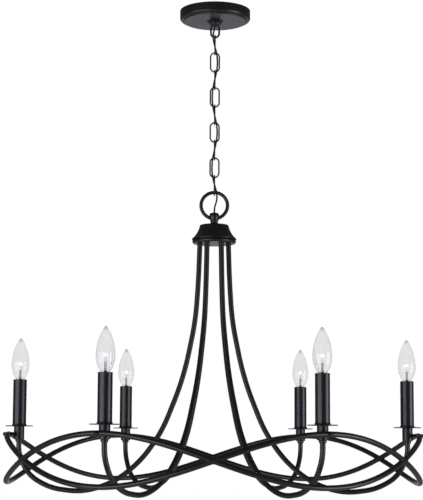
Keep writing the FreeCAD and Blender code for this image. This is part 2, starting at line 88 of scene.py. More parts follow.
# %% Camera
camera_data = bpy.data.cameras.new("camera")
camera_data.sensor_width = 36.0
camera_data.lens = 109.16
camera_data.clip_start, camera_data.clip_end = 0.1, 200.0
camera = bpy.data.objects.new("camera", camera_data)
stand = Matrix.Translation((-0.0051, -2.9495, -0.8585))
look_up = Matrix.Rotation(math.radians(90 + 7.284), 4, "X")
lean = Matrix.Rotation(math.radians(0.27), 4, "Z")
camera.matrix_world = stand @ look_up @ lean
bpy.context.scene.collection.objects.link(camera)
bpy.context.scene.camera = camera
print("Camera distance in metres:", round(camera.matrix_world.translation.length, 2))

# %% [markdown]
# ## Small helpers for node trees
# Materials and Geometry Nodes are both trees of nodes. Wiring each link by hand takes many
# lines, so `place` makes a node, sets its options, and fills its inputs in one call. An input
# is filled either with another node's output or with a plain value. The other helpers are the
# few nodes that come again and again.

# %% Node helpers
def place(tree, kind, sockets=None, **options):
    """Make a node, set its options, and fill its inputs from outputs or plain values."""
    node = tree.nodes.new(kind)
    for option, value in options.items():
        setattr(node, option, value)
    for socket, source in (sockets or {}).items():
        if isinstance(source, bpy.types.NodeSocket):
            tree.links.new(source, node.inputs[socket])
        else:
            node.inputs[socket].default_value = source
    return node


def maths(tree, operation, *values):
    """One Math node; gives its output socket."""
    return place(tree, "ShaderNodeMath", dict(enumerate(values)), operation=operation).outputs[0]


def vector_maths(tree, operation, *values, output=0):
    """One Vector Math node; gives the output socket asked for."""
    node = place(tree, "ShaderNodeVectorMath", dict(enumerate(values)), operation=operation)
    return node.outputs[output]


def scaled_vector(tree, vector, factor):
    """A vector made longer or shorter."""
    node = place(tree, "ShaderNodeVectorMath", {0: vector, "Scale": factor}, operation="SCALE")
    return node.outputs[0]


def xyz(tree, x=0.0, y=0.0, z=0.0):
    """A vector put together from three numbers or sockets."""
    return place(tree, "ShaderNodeCombineXYZ", {0: x, 1: y, 2: z}).outputs[0]


def remap(tree, value, low, high, to_low=0.0, to_high=1.0):
    """Move a value from the range low..high to the range to_low..to_high, and keep it there."""
    node = place(tree, "ShaderNodeMapRange", {"Value": value, "From Min": low, "From Max": high,
                                              "To Min": to_low, "To Max": to_high})
    return node.outputs[0]


def mix_colour(tree, share, first, second):
    """Mix two colours by a share from 0 to 1."""
    node = place(tree, "ShaderNodeMix", {0: share, 6: first, 7: second}, data_type="RGBA")
    return node.outputs[2]


print("Helpers ready: place, maths, vector_maths, scaled_vector, xyz, remap, mix_colour")

# %% [markdown]
# ## Effects that several finishes share
# Real finishes differ in colour and gloss but share their small faults: a coat is faintly
# bumpy, it is thin and pale where an edge is rubbed, and dust settles on what faces up. Each
# effect is one node group with named inputs, built once and placed in each material with its
# own values. A group gives only masks, heights and normals. The shader stays in the material.

# %% Shared effects: the group maker
GROUP_KINDS = {"Vector": "NodeSocketVector", "Number": "NodeSocketFloat"}


def start_group(name, inputs, outputs):
    """A shader group with named number inputs, and outputs given as name: kind."""
    group = bpy.data.node_groups.new(name, "ShaderNodeTree")
    for label, value in inputs.items():
        socket = group.interface.new_socket(label, in_out="INPUT", socket_type="NodeSocketFloat")
        socket.default_value = value
    for label, kind in outputs.items():
        group.interface.new_socket(label, in_out="OUTPUT", socket_type=GROUP_KINDS[kind])
    given = group.nodes.new("NodeGroupInput").outputs
    taken = group.nodes.new("NodeGroupOutput")
    return group, given, taken


def scaled_object_point(tree, scale):
    """The surface point in the piece's own coordinates, scaled."""
    return scaled_vector(tree, tree.nodes.new("ShaderNodeTexCoord").outputs["Object"], scale)


def noise(tree, scale, detail):
    """Smooth noise on the piece, with about this many bumps in a metre."""
    node = place(tree, "ShaderNodeTexNoise",
                 {"Vector": scaled_object_point(tree, scale), "Scale": 1.0, "Detail": detail})
    return node.outputs[0]


print("Group maker ready")

# %% [markdown]
# Powder coat is sprayed as dry powder and melted in an oven. It flows into a skin with soft
# bumps about a millimetre across, called orange peel, with finer grit on top. Two noises at two
# scales give that, and a third, slow noise makes the gloss drift over a hand's width.

# %% Shared effects: coat grain
coat_grain, given, taken = start_group(
    "coat_grain", {"Bumps per metre": 900.0, "Grit": 0.35}, {"Height": "Number", "Drift": "Number"}
)
GRIT_PER_METRE = 5200.0
DRIFT_PER_METRE = 14.0
peel = noise(coat_grain, given["Bumps per metre"], 1.0)
grit = noise(coat_grain, GRIT_PER_METRE, 0.0)
height = maths(coat_grain, "ADD", peel, maths(coat_grain, "MULTIPLY", grit, given["Grit"]))
drift = noise(coat_grain, DRIFT_PER_METRE, 3.0)
coat_grain.links.new(height, taken.inputs["Height"])
coat_grain.links.new(maths(coat_grain, "SUBTRACT", drift, 0.5), taken.inputs["Drift"])
print("coat_grain nodes:", len(coat_grain.nodes))

# %% [markdown]
# An edge of sheet or tube is never perfectly sharp: a coat rounds it, and the rounding catches
# light. The Bevel node gives the normal that a small round would have. Where it differs from
# the plain normal there is an edge, so the same node also gives the mask for rubbed paint.

# %% Shared effects: soft edge
soft_edge, given, taken = start_group(
    "soft_edge", {"Round": 0.0005, "Patches per metre": 220.0},
    {"Normal": "Vector", "Rubbed": "Number"}
)
rounded = place(soft_edge, "ShaderNodeBevel", {"Radius": given["Round"]}, samples=4)
plain = soft_edge.nodes.new("ShaderNodeNewGeometry").outputs["Normal"]
agreement = vector_maths(soft_edge, "DOT_PRODUCT", rounded.outputs[0], plain, output="Value")
edge_mask = remap(soft_edge, agreement, 0.97, 0.80)
worn = remap(soft_edge, noise(soft_edge, given["Patches per metre"], 3.0), 0.42, 0.62)
soft_edge.links.new(rounded.outputs[0], taken.inputs["Normal"])
soft_edge.links.new(maths(soft_edge, "MULTIPLY", edge_mask, worn), taken.inputs["Rubbed"])
print("soft_edge nodes:", len(soft_edge.nodes))

# %% [markdown]
# Dust lies where a surface faces up, in uneven patches. The upward part of the normal, times a
# noise, is the mask. It also makes flat tops a little duller than the sides.

# %% Shared effects: settled dust
settled_dust, given, taken = start_group(
    "settled_dust", {"Amount": 0.3}, {"Dust": "Number"}
)
up = place(settled_dust, "ShaderNodeSeparateXYZ",
           {0: settled_dust.nodes.new("ShaderNodeNewGeometry").outputs["Normal"]}).outputs[2]
SPECKS_PER_METRE = 160.0
facing_up = remap(settled_dust, up, 0.35, 1.0)
thick = remap(settled_dust, noise(settled_dust, SPECKS_PER_METRE, 6.0), 0.35, 0.75)
dust_amount = maths(settled_dust, "MULTIPLY", facing_up,
                    maths(settled_dust, "MULTIPLY", thick, given["Amount"]))
settled_dust.links.new(dust_amount, taken.inputs["Dust"])
print("settled_dust nodes:", len(settled_dust.nodes))

# %% [markdown]
# Drawn tube, blown glass and turned metal all carry faint lines along one direction. A noise
# whose coordinates are squeezed along Z gives long thin streaks that follow a standing piece.

# %% Shared effects: drawn lines
drawn_lines, given, taken = start_group(
    "drawn_lines", {"Across per metre": 700.0, "Along per metre": 14.0}, {"Height": "Number"}
)
stretch = xyz(drawn_lines, given["Across per metre"], given["Across per metre"],
              given["Along per metre"])
point = drawn_lines.nodes.new("ShaderNodeTexCoord").outputs["Object"]
stretched = vector_maths(drawn_lines, "MULTIPLY", point, stretch)
lines = place(drawn_lines, "ShaderNodeTexNoise", {"Vector": stretched, "Scale": 1.0, "Detail": 2.0})
drawn_lines.links.new(lines.outputs[0], taken.inputs["Height"])
print("drawn_lines nodes:", len(drawn_lines.nodes))

# %% [markdown]
# The cord is braided yarn. Seen close, a braid is two families of yarn that wind round in
# opposite directions and pass over each other by turns. On the cord's UV map, U goes once round
# and V counts diameters along, so each family is a sine of U plus or minus V, and the taller of
# the two sines is the yarn on top.

# %% Shared effects: braid
braid, given, taken = start_group(
    "braid", {"Yarns": 8.0, "Rows per diameter": 2.2}, {"Height": "Number", "Gap": "Number"}
)
unrolled = place(braid, "ShaderNodeUVMap", uv_map="UVMap").outputs[0]
along = place(braid, "ShaderNodeSeparateXYZ", {0: unrolled})
round_share = maths(braid, "MULTIPLY", along.outputs[0], given["Yarns"])
row_share = maths(braid, "MULTIPLY", along.outputs[1], given["Rows per diameter"])


def yarn_wave(direction):
    """The height of one family of yarn, which winds left or right as its direction is."""
    share = maths(braid, direction, round_share, row_share)
    return maths(braid, "SINE", maths(braid, "MULTIPLY", share, 2 * math.pi))


top_yarn = maths(braid, "MAXIMUM", yarn_wave("ADD"), yarn_wave("SUBTRACT"))
braid.links.new(top_yarn, taken.inputs["Height"])
# The gap mask marks the hollows between the yarns, which the cord's colour darkens as painted shade.
braid.links.new(remap(braid, top_yarn, 0.25, -0.5), taken.inputs["Gap"])
print("braid nodes:", len(braid.nodes))

# %% [markdown]
# ## The material maker
# Every finish starts from the same Principled shader. `use_group` places one of the shared
# effects, and `coated` wires the usual set: the coat's colour, its rubbed edges, its dust, its
# drift of gloss, and its bumps laid over the rounded edges.

# %% Material helpers
def new_finish(name, roughness, metallic=0.0):
    """A material with one Principled shader; gives the material, its tree and the shader."""
    material = bpy.data.materials.new(name)
    material.use_nodes = True
    shader = material.node_tree.nodes["Principled BSDF"]
    shader.inputs["Roughness"].default_value = roughness
    shader.inputs["Metallic"].default_value = metallic
    return material, material.node_tree, shader


def use_group(tree, group, **values):
    """Place a shared effect; an underscore in a name stands for a space."""
    node = place(tree, "ShaderNodeGroup", node_tree=group)
    for label, value in values.items():
        node.inputs[label.replace("_", " ")].default_value = value
    return node.outputs


def bumpy(tree, shader, height, distance, strength, normal=None):
    """Raise the surface by a height in metres, over the plain normal or a rounded one."""
    sockets = {"Height": height, "Distance": distance, "Strength": strength}
    if normal is not None:
        sockets["Normal"] = normal
    skin = place(tree, "ShaderNodeBump", sockets)
    tree.links.new(skin.outputs[0], shader.inputs["Normal"])


DUST_COLOUR = (0.07, 0.068, 0.066, 1)


def coated(name, colour, rubbed, roughness, bump=0.00002, dust=0.25, bumps=900.0, edge=0.0005,
           metallic=0.0):
    """A sprayed or dipped finish with grain, rubbed edges and a little dust."""
    material, tree, shader = new_finish(name, roughness, metallic)
    grain = use_group(tree, coat_grain, Bumps_per_metre=bumps)
    edges = use_group(tree, soft_edge, Round=edge)
    dusty = use_group(tree, settled_dust, Amount=dust)
    bare = mix_colour(tree, edges["Rubbed"], (*colour, 1), (*rubbed, 1))
    dusted = mix_colour(tree, dusty["Dust"], bare, DUST_COLOUR)
    tree.links.new(dusted, shader.inputs["Base Color"])
    gloss = maths(tree, "MULTIPLY_ADD", grain["Drift"], 0.10, roughness)
    duller = maths(tree, "MULTIPLY_ADD", dusty["Dust"], 0.25, gloss)
    tree.links.new(duller, shader.inputs["Roughness"])
    bumpy(tree, shader, grain["Height"], bump, 0.6, edges["Normal"])
    return material


print("Material helpers ready")

# %% [markdown]
# ## The cord's line
# A black cord carries the current from the ceiling to the lamps. It comes out of the canopy's
# eye, goes round the chain a quarter turn to each link, passes behind the suspension ring and
# goes into the hub. The points below are that route, in metres. A NURBS curve with the points
# as its control points is smooth everywhere, so the cord bends like cord and not like wire.

# %% The cord's route
CORD_RADIUS = 0.0017
cord_route = [
    (0, 0, -0.0140), (0, 0, -0.0310), (-0.0049, 0.0048, -0.0505), (-0.0006, 0.0053, -0.0692),
    (0.0039, 0.0039, -0.0869), (0.0053, 0, -0.1047), (0.0039, -0.0039, -0.1224),
    (0, -0.0053, -0.1402), (-0.0039, -0.0039, -0.1579), (-0.0053, 0, -0.1757),
    (-0.0039, 0.0039, -0.1934), (0, 0.0053, -0.2112), (0.0039, 0.0039, -0.2289),
    (0.0053, 0, -0.2467), (0.0039, -0.0039, -0.2644), (0, -0.0053, -0.2822),
    (-0.0039, -0.0039, -0.2999), (-0.0053, 0, -0.3177), (-0.0039, 0.0039, -0.3354),
    (0.0006, 0.0053, -0.3520), (0.0049, 0.0060, -0.3675), (0.0052, 0.0038, -0.3820),
    (0.0010, 0.0007, -0.3945), (0, 0, -0.4040), (0.00005, 0, -0.4126),
]


def smooth_line(points, name):
    """The points of a NURBS curve that has these control points."""
    curve = bpy.data.curves.new(name, "CURVE")
    curve.dimensions = "3D"
    curve.resolution_u = 10
    spline = curve.splines.new("NURBS")
    spline.points.add(len(points) - 1)
    for control, at in zip(spline.points, points):
        control.co = (*at, 1.0)
    spline.order_u = 3
    spline.use_endpoint_u = True
    holder = bpy.data.objects.new(name, curve)
    bpy.context.scene.collection.objects.link(holder)
    depsgraph = bpy.context.evaluated_depsgraph_get()
    mesh = bpy.data.meshes.new_from_object(holder.evaluated_get(depsgraph))
    line = [vertex.co.copy() for vertex in mesh.vertices]
    bpy.data.objects.remove(holder)
    bpy.data.meshes.remove(mesh)
    return line


cord_line = smooth_line(cord_route, "cord_line")
cord_length = sum((b - a).length for a, b in zip(cord_line, cord_line[1:]))
print("Cord length in millimetres:", round(1000 * cord_length, 1), "points:", len(cord_line))

# %% [markdown]
# ## The cord's mesh
# A tube is a ring of points at each point of the line. The rings must not twist, or the braid
# would twist with them, so each ring's direction is carried over from the ring before it. The
# UV map goes once round in U and counts cord diameters in V, which is what the braid reads.

# %% Tube maker
def carried_frames(line):
    """At each point of a line, the two directions across it, carried along without twist."""
    across, frames = Vector((1, 0, 0)), []
    for i, at in enumerate(line):
        ahead = (line[min(i + 1, len(line) - 1)] - line[max(i - 1, 0)]).normalized()
        across = (across - across.dot(ahead) * ahead).normalized()
        frames.append((at, across, ahead.cross(across)))
    return frames


def tube_mesh(name, frames, travelled, radius, sides=16):
    """A closed tube on carried frames, with a UV map of turns and diameters."""
    vertices, faces, uvs = [], [], []
    for at, across, other in frames:
        for k in range(sides):
            angle = 2 * math.pi * k / sides
            vertices.append(at + radius * (math.cos(angle) * across + math.sin(angle) * other))
    for i in range(len(frames) - 1):
        near, far = travelled[i] / (2 * radius), travelled[i + 1] / (2 * radius)
        for k in range(sides):
            k2 = (k + 1) % sides
            faces.append((i * sides + k, i * sides + k2, (i + 1) * sides + k2, (i + 1) * sides + k))
            uvs += [(k / sides, near), ((k + 1) / sides, near), ((k + 1) / sides, far), (k / sides, far)]
    last = (len(frames) - 1) * sides
    faces += [tuple(range(sides))[::-1], tuple(last + k for k in range(sides))]
    uvs += [(0.5, travelled[0] / (2 * radius))] * sides + [(0.5, travelled[-1] / (2 * radius))] * sides
    mesh = bpy.data.meshes.new(name)
    mesh.from_pydata(vertices, [], faces)
    layer = mesh.uv_layers.new(name="UVMap")
    for corner, uv in enumerate(uvs):
        layer.data[corner].uv = uv
    mesh.shade_smooth()
    return mesh


cord_frames = carried_frames(cord_line)
cord_travel = [0.0]
for a, b in zip(cord_line, cord_line[1:]):
    cord_travel.append(cord_travel[-1] + (b - a).length)
print("Frames along the cord:", len(cord_frames))

# %% [markdown]
# ## The cord's finish
# Braided rayon over rubber is nearly black with a dull sheen along the yarns. The gaps between
# yarns are painted darker still, a painted shade in the hollows of the braid, and a little fuzz
# scatters light at the outline, which the shader's sheen gives.

# %% Cord material
cord_jacket, tree, shader = new_finish("cord_jacket", 0.62)
yarn = use_group(tree, braid)
# Darker colour in the gaps between yarns is painted shade.
colour = mix_colour(tree, yarn["Gap"], (0.010, 0.010, 0.011, 1), (0.002, 0.002, 0.002, 1))
tree.links.new(colour, shader.inputs["Base Color"])
shader.inputs["Sheen Weight"].default_value = 0.08
shader.inputs["Sheen Roughness"].default_value = 0.5
bumpy(tree, shader, yarn["Height"], 0.00012, 0.8)
print("Made", cord_jacket.name)

# %% [markdown]
# ## Cutting the cord at the joints
# Each link swings on the one above it. The tube is cut in the middle of each body, so there is
# one length of cord for each joint, reaching from the body above to the body below.

# %% Cord lengths, one for each joint
chain_bodies = ["canopy"] + [f"chain_link_{k}" for k in range(1, 10)] + ["suspension_ring", "frame"]


def middle_height(body):
    """Half way down a body that has one part of the same name."""
    low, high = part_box(body)
    return (low.z + high.z) / 2


cut_heights = [0.0] + [middle_height(body) for body in chain_bodies[1:-1]] + [-1.0]
cord_pieces = []
for above, below, top, foot in zip(chain_bodies, chain_bodies[1:], cut_heights, cut_heights[1:]):
    span = [i for i, at in enumerate(cord_line) if foot < at.z <= top]
    if span[-1] + 1 < len(cord_line):
        span.append(span[-1] + 1)
    mesh = tube_mesh(f"cord_to_{below}", [cord_frames[i] for i in span],
                     [cord_travel[i] for i in span], CORD_RADIUS)
    mesh.materials.append(cord_jacket)
    length = bpy.data.objects.new(f"cord_to_{below}", mesh)
    bpy.context.scene.collection.objects.link(length)
    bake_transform(length)
    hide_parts("supply_cord")
    cord_pieces.append(length)
print("Cord lengths:", len(cord_pieces), "for bodies:", len(chain_bodies))

# %% [markdown]
# ## The black finishes
# Four blacks stand side by side on this object, and telling them apart is most of the work. The
# frame is satin powder coat. The chain is dipped enamel, a little glossier, and rubbed where
# the links bear on each other. The candle sleeves are smooth lacquered tube. The lampholders
# are moulded resin. None is pure black, because real paint gives back about one part in a
# hundred of the light.

# %% Black finishes
black_metal = coated("black_metal", (0.0080, 0.0080, 0.0086), (0.030, 0.030, 0.031), 0.33)
chain_black = coated("chain_black", (0.0070, 0.0070, 0.0074), (0.035, 0.034, 0.033), 0.32,
                     bumps=1400.0, edge=0.0003, dust=0.18)
lampholder_black = coated("lampholder_black", (0.016, 0.015, 0.015), (0.03, 0.03, 0.03), 0.48,
                          bumps=2200.0, bump=0.00001, dust=0.0)

SLEEVE_ROUGHNESS = 0.29
sleeve_black, tree, shader = new_finish("sleeve_black", SLEEVE_ROUGHNESS)
lines = use_group(tree, drawn_lines, Across_per_metre=420.0, Along_per_metre=6.0)
grain = use_group(tree, coat_grain, Bumps_per_metre=600.0, Grit=0.1)
edges = use_group(tree, soft_edge, Round=0.0006)
lacquer = mix_colour(tree, edges["Rubbed"], (0.0078, 0.0080, 0.0110, 1), (0.030, 0.030, 0.034, 1))
tree.links.new(lacquer, shader.inputs["Base Color"])
gloss = maths(tree, "MULTIPLY_ADD", grain["Drift"], 0.08, SLEEVE_ROUGHNESS)
tree.links.new(gloss, shader.inputs["Roughness"])
relief = maths(tree, "ADD", lines["Height"], grain["Height"])
bumpy(tree, shader, relief, 0.000012, 0.5, edges["Normal"])
print("Made", black_metal.name, chain_black.name, sleeve_black.name, lampholder_black.name)

# %% [markdown]
# ## Glass
# The lamps are clear blown glass, about half a millimetre thick. A clear shader on a shell with
# a real wall bends light twice and darkens at the outline, which is what makes thin glass
# readable. The clear glass is coloured light grey, a painted shade that stands in for the dim
# room the glass reflects. Blowing leaves faint streaks from neck to tip, so the drawn lines feed
# a very shallow bump, and the tip, where the glass was pinched off, is thicker and darker. The
# small glass mount inside is pressed and greyer, with its own tint.

# %% Glass finishes
glass_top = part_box("bulb_1_glass")[1].z
TIP_LENGTH = 0.009


def height_on_piece(tree):
    """How high the surface point is, in the piece's own coordinates."""
    spot = tree.nodes.new("ShaderNodeTexCoord").outputs["Object"]
    return place(tree, "ShaderNodeSeparateXYZ", {0: spot}).outputs[2]


def glass(name, tint_and_painted_shade, roughness, depth, across):
    """Clear glass with faint lines along its height."""
    material, tree, shader = new_finish(name, roughness)
    shader.inputs["Transmission Weight"].default_value = 1.0
    shader.inputs["IOR"].default_value = 1.48
    lines = use_group(tree, drawn_lines, Across_per_metre=across, Along_per_metre=10.0)
    shade = remap(tree, lines["Height"], 0.0, 1.0, 0.94, 1.0)
    streaked = mix_colour(tree, shade, (0.76, 0.77, 0.78, 1), (*tint_and_painted_shade, 1))
    tip = remap(tree, height_on_piece(tree), glass_top - TIP_LENGTH, glass_top)
    tree.links.new(mix_colour(tree, tip, streaked, (0.62, 0.62, 0.63, 1)),
                   shader.inputs["Base Color"])
    bumpy(tree, shader, lines["Height"], depth, 0.5)
    return material


# The light grey of the clear glass is painted shade, standing in for the dim room it reflects.
clear_glass = glass("clear_glass", (0.89, 0.893, 0.903), 0.0, 0.00006, 130.0)
mount_glass = glass("mount_glass", (0.42, 0.41, 0.40), 0.08, 0.00004, 400.0)
print("Made", clear_glass.name, mount_glass.name)

# %% [markdown]
# ## Bright metals and plastics
# These sit inside the canopy and the sleeves, and show when the fixture is taken apart or a lamp
# is lifted out. Brass, zinc plate and drawn wire share one maker, a mottle of cells, each at its
# own scale and tone. Each plastic gets its own grain.

# %% Bright metals
def bright_metal(name, light, dark, roughness, mottle):
    """Plated metal whose tone and gloss vary in soft patches."""
    material, tree, shader = new_finish(name, roughness, metallic=1.0)
    cells = place(tree, "ShaderNodeTexVoronoi",
                  {"Vector": scaled_object_point(tree, mottle), "Scale": 1.0}, feature="F1")
    tone = place(tree, "ShaderNodeSeparateColor", {0: cells.outputs["Color"]}).outputs[0]
    tree.links.new(mix_colour(tree, tone, (*light, 1), (*dark, 1)), shader.inputs["Base Color"])
    grain = use_group(tree, coat_grain, Bumps_per_metre=3000.0, Grit=0.5)
    edges = use_group(tree, soft_edge, Round=0.0003)
    gloss = maths(tree, "MULTIPLY_ADD", tone, 0.14, roughness)
    tree.links.new(gloss, shader.inputs["Roughness"])
    bumpy(tree, shader, grain["Height"], 0.000008, 0.5, edges["Normal"])
    return material


lamp_brass = bright_metal("lamp_brass", (0.78, 0.66, 0.40), (0.62, 0.50, 0.28), 0.24, 900.0)
zinc_steel = bright_metal("zinc_steel", (0.62, 0.63, 0.64), (0.46, 0.47, 0.49), 0.34, 260.0)
support_wire = bright_metal("support_wire", (0.50, 0.49, 0.47), (0.36, 0.35, 0.34), 0.30, 4000.0)
print("Made", lamp_brass.name, zinc_steel.name, support_wire.name)

# %% Plastics and the ground screw
ground_green = coated("ground_green", (0.03, 0.22, 0.06), (0.30, 0.34, 0.28), 0.32, bumps=1800.0,
                      edge=0.0003, metallic=0.4)
connector_plastic = coated("connector_plastic", (0.62, 0.20, 0.03), (0.72, 0.34, 0.12), 0.42,
                           bumps=1500.0, dust=0.35)
LEAD_ROUGHNESS = 0.45
lead_insulation, tree, shader = new_finish("lead_insulation", LEAD_ROUGHNESS)
spot = place(tree, "ShaderNodeSeparateXYZ",
             {0: tree.nodes.new("ShaderNodeTexCoord").outputs["Object"]})
at_back = maths(tree, "GREATER_THAN", spot.outputs[1], 0.0)
at_left = maths(tree, "LESS_THAN", spot.outputs[0], 0.0)
pair = mix_colour(tree, at_left, (0.015, 0.015, 0.015, 1), (0.72, 0.71, 0.68, 1))
three = mix_colour(tree, at_back, pair, (0.03, 0.20, 0.07, 1))
grain = use_group(tree, coat_grain, Bumps_per_metre=2600.0)
tree.links.new(three, shader.inputs["Base Color"])
tree.links.new(maths(tree, "MULTIPLY_ADD", grain["Drift"], 0.12, LEAD_ROUGHNESS),
               shader.inputs["Roughness"])
bumpy(tree, shader, grain["Height"], 0.00001, 0.5)
print("Made", ground_green.name, connector_plastic.name, lead_insulation.name)

# %% [markdown]
# ## The filament
# A filament is coiled tungsten wire. Here it gives off light of its own whether the lamp is lit
# or not: a painted highlight that makes it the brightest point in the clear lamp. The painted glow
# is stronger in the middle of the arch than at the ends: the height in the piece's coordinates decides.

# %% Filament material
filament_low, filament_high = -0.7085, -0.6985
filament_glow, tree, shader = new_finish("filament_glow", 0.5, metallic=1.0)
shader.inputs["Base Color"].default_value = (0.5, 0.48, 0.45, 1)
# The emission below paints a highlight on the filament, stronger towards the top of the arch.
rise = remap(tree, height_on_piece(tree), filament_low, filament_high, 0.55, 1.0)
painted_glow = mix_colour(tree, rise, (0.9, 0.55, 0.25, 1), (1.0, 0.96, 0.90, 1))
tree.links.new(painted_glow, shader.inputs["Emission Color"])
shader.inputs["Emission Strength"].default_value = 9.0
print("Made", filament_glow.name)

# %% [markdown]
# ## Finishes on the CAD parts
# Each CAD part came with the name of its finish in the record. The part's mesh stays as it is;
# only the material in its slot is exchanged for the one made above.

# %% Put the finishes on
finishes = {
    "black_metal": black_metal, "chain_black": chain_black, "sleeve_black": sleeve_black,
    "clear_glass": clear_glass, "lamp_brass": lamp_brass, "zinc_steel": zinc_steel,
    "ground_green": ground_green, "connector_plastic": connector_plastic,
    "lead_insulation": lead_insulation, "cord_jacket": cord_jacket,
    "lampholder_black": lampholder_black,
}
slot_of = {entry["node"]: entry["material_slot"] for entry in frame["record"]["subparts"]}
count = {}
for name, part in cad_nodes.items():
    finish = finishes[slot_of[name]]
    part.data.materials.clear()
    part.data.materials.append(finish)
    count[finish.name] = count.get(finish.name, 0) + 1
print("Parts in each finish:", count)

# %% [markdown]
# ## Geometry Nodes, grown once and kept
# Shapes that repeat or follow a rule are made by a small tree of Geometry Nodes with named
# inputs. `grow` hangs the tree on an empty object, sets its inputs, and keeps the result as a
# plain mesh. The piece that rides on a body is that plain mesh, with no modifier left on it.

# %% Geometry Nodes helpers
INPUT_KINDS = {"size": "NodeSocketFloat", "count": "NodeSocketInt", "spot": "NodeSocketVector",
               "finish": "NodeSocketMaterial"}


def start_tree(name, **inputs):
    """A geometry tree whose inputs are given as name=kind; an underscore stands for a space."""
    tree = bpy.data.node_groups.new(name, "GeometryNodeTree")
    for label, kind in {**inputs, "Finish": "finish"}.items():
        tree.interface.new_socket(label.replace("_", " "), in_out="INPUT",
                                  socket_type=INPUT_KINDS[kind])
    tree.interface.new_socket("Geometry", in_out="OUTPUT", socket_type="NodeSocketGeometry")
    return tree, tree.nodes.new("NodeGroupInput").outputs


def end_tree(tree, given, shape):
    """Smooth, realize, and set the material: the end of every tree here."""
    smooth = place(tree, "GeometryNodeSetShadeSmooth", {"Geometry": shape})
    real = place(tree, "GeometryNodeRealizeInstances", {"Geometry": smooth.outputs[0]})
    finished = place(tree, "GeometryNodeSetMaterial",
                     {"Geometry": real.outputs[0], "Material": given["Finish"]})
    place(tree, "NodeGroupOutput", {"Geometry": finished.outputs[0]})


def keep(name, mesh, body, replaced=()):
    """Link a mesh as a piece that rides on a body."""
    made = bpy.data.objects.new(name, mesh)
    bpy.context.scene.collection.objects.link(made)
    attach(made, body)
    if replaced:
        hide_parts(*replaced)
    return made


def grow(name, tree, body, replaced=(), slot=None, **sizes):
    """Run a tree with these inputs, keep the plain mesh, and let it ride on a body."""
    holder = bpy.data.objects.new("holder", bpy.data.meshes.new("holder"))
    modifier = holder.modifiers.new("tree", "NODES")
    modifier.node_group = tree
    for item in tree.interface.items_tree:
        label = item.name.replace(" ", "_")
        if item.in_out == "INPUT" and label in sizes:
            modifier[item.identifier] = sizes[label]
    bpy.context.scene.collection.objects.link(holder)
    depsgraph = bpy.context.evaluated_depsgraph_get()
    mesh = bpy.data.meshes.new_from_object(holder.evaluated_get(depsgraph), depsgraph=depsgraph)
    bpy.data.objects.remove(holder)
    mesh.name = name
    return keep(name, mesh, body, replaced)


def sweep(tree, path, radius, sides, scale=1.0):
    """A round section carried along a curve."""
    section = place(tree, "GeometryNodeCurvePrimitiveCircle",
                    {"Resolution": sides, "Radius": radius})
    tube = place(tree, "GeometryNodeCurveToMesh",
                 {"Curve": path, "Profile Curve": section.outputs[0], "Scale": scale,
                  "Fill Caps": True})
    return tube.outputs[0]


def stand_up(tree, shape, spot, turn):
    """Lift a flat shape upright, turn it about Z and move it to its spot."""
    node = place(tree, "GeometryNodeTransform",
                 {"Geometry": shape, "Translation": spot,
                  "Rotation": xyz(tree, math.pi / 2, 0.0, turn)})
    return node.outputs[0]


print("Geometry Nodes helpers ready")

# %% [markdown]
# ## The chain
# A chain link is a piece of wire bent to a long round-ended loop, with its two ends butted in
# the middle of one side. A rectangle curve with its corners rounded by half its width is that
# loop, and a round section swept along it is the wire. The butt shows as a fine groove: the
# section shrinks there. All nine links come from one tree, each turned by a right angle.

# %% The link tree
wire_loop, given = start_tree("wire_loop", Half_Width="size", Height="size", Wire="size", Place="spot",
                              Turn="size", Corner="count", Groove="size")
outline = place(wire_loop, "GeometryNodeCurvePrimitiveQuadrilateral",
                {"Width": maths(wire_loop, "MULTIPLY", given["Half Width"], 2.0),
                 "Height": given["Height"]})
rounded = place(wire_loop, "GeometryNodeFilletCurve",
                {"Curve": outline.outputs[0], "Count": given["Corner"], "Radius": given["Half Width"],
                 "Limit Radius": True}, mode="POLY")
even = place(wire_loop, "GeometryNodeResampleCurve",
             {"Curve": rounded.outputs[0], "Count": 220}, mode="COUNT")
here = place(wire_loop, "ShaderNodeSeparateXYZ",
             {0: wire_loop.nodes.new("GeometryNodeInputPosition").outputs[0]})
from_butt = maths(wire_loop, "ABSOLUTE", here.outputs[1])
on_side = maths(wire_loop, "LESS_THAN", here.outputs[0], 0.0)
near_butt = remap(wire_loop, from_butt, 0.0, 0.0006, 1.0, 0.0)
at_butt = maths(wire_loop, "MULTIPLY", near_butt, on_side)
groove = maths(wire_loop, "MULTIPLY", at_butt, given["Groove"])
thickness = maths(wire_loop, "SUBTRACT", 1.0, groove)
loop = sweep(wire_loop, even.outputs[0], given["Wire"], 16, thickness)
end_tree(wire_loop, given, stand_up(wire_loop, loop, given["Place"], given["Turn"]))
print("wire_loop nodes:", len(wire_loop.nodes))

# %% Nine links and the suspension ring
def bend_loop(name, node, body, finish, corner, groove):
    """Measure the CAD loop and bend the same one out of smooth wire."""
    low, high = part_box(node)
    size, centre = high - low, (low + high) / 2
    along_x = size.x > size.y
    wire = min(size.x, size.y) / 2
    return grow(name, wire_loop, body, replaced=(node,), slot=slot_of[node],
                Half_Width=max(size.x, size.y) / 2 - wire, Height=size.z - 2 * wire, Wire=wire,
                Place=centre, Turn=0.0 if along_x else math.pi / 2, Corner=corner, Groove=groove,
                Finish=finish)


links = [bend_loop(f"link_{k}", f"chain_link_{k}", f"chain_link_{k}", chain_black, 16, 0.22)
         for k in range(1, 10)]
big_ring = bend_loop("big_ring", "suspension_ring", "suspension_ring", black_metal, 40, 0.05)
print("Links:", len(links), "faces in a link:", len(links[0].data.polygons))

# %% [markdown]
# ## The two wavy rings
# The rings are rolled tube that rises and falls three times on its way round. Ring height is a
# cosine of the angle, so the whole shape is a rule: start from a circle and lift each point by
# that cosine. The second ring is the same rule half a wave later, so it is high where the first
# is low, and they cross six times.

